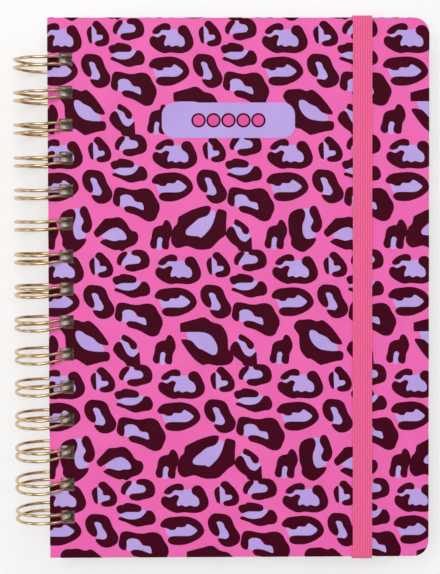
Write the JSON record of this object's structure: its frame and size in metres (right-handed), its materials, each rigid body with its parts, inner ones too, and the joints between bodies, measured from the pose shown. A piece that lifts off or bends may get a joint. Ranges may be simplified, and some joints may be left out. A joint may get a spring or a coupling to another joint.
{
  "type": "spiral notebook",
  "caption": "A5 hardcover notebook with a twin-loop wire binding, an animal-spot printed cover and an elastic closing band.",
  "frame": {"origin": "under the middle of the closed notebook, at the level of the lowest point of the wire loops", "axes": "+X from the spine to the fore-edge, +Y from tail to head, +Z out of the front cover"},
  "size_m": [0.1626, 0.2118, 0.023],
  "materials": {
    "grey_board": "matt grey board",
    "printed_wrap": "matt laminated printed paper",
    "lining_paper": "uncoated lining paper",
    "gold_wire": "bright light gold coated wire",
    "woven_elastic": "ribbed woven elastic",
    "pages": "uncoated white paper",
    "maroon_ink": "matt dark maroon print",
    "lilac_ink": "matt lilac print",
    "pink_ink": "matt pink print"
  },
  "bodies": {
    "back": {"back_board": "grey_board", "back_wrap": "printed_wrap", "back_lining": "lining_paper", "wire_binding": "gold_wire", "elastic_band": "woven_elastic"},
    "pages": {"page_block": "pages"},
    "front": {"front_board": "grey_board", "front_wrap": "printed_wrap", "front_lining": "lining_paper", "front_print_spots": "maroon_ink", "front_print_centres": "lilac_ink", "front_title_panel": "lilac_ink", "front_dot_outlines": "maroon_ink", "front_title_dots": "pink_ink"}
  },
  "joints": [
    {"name": "page_turn", "type": "hinge", "parent": "back", "child": "pages", "pos_m": [-0.06975, 0, 0.0115], "axis": [0, -1, 0], "range_deg": [0, 180], "deforming": ["elastic_band"]},
    {"name": "front_cover_swing", "type": "hinge", "parent": "pages", "child": "front", "pos_m": [-0.06975, 0, 0.0115], "axis": [0, -1, 0], "range_deg": [0, 195], "deforming": ["elastic_band"]}
  ]
}
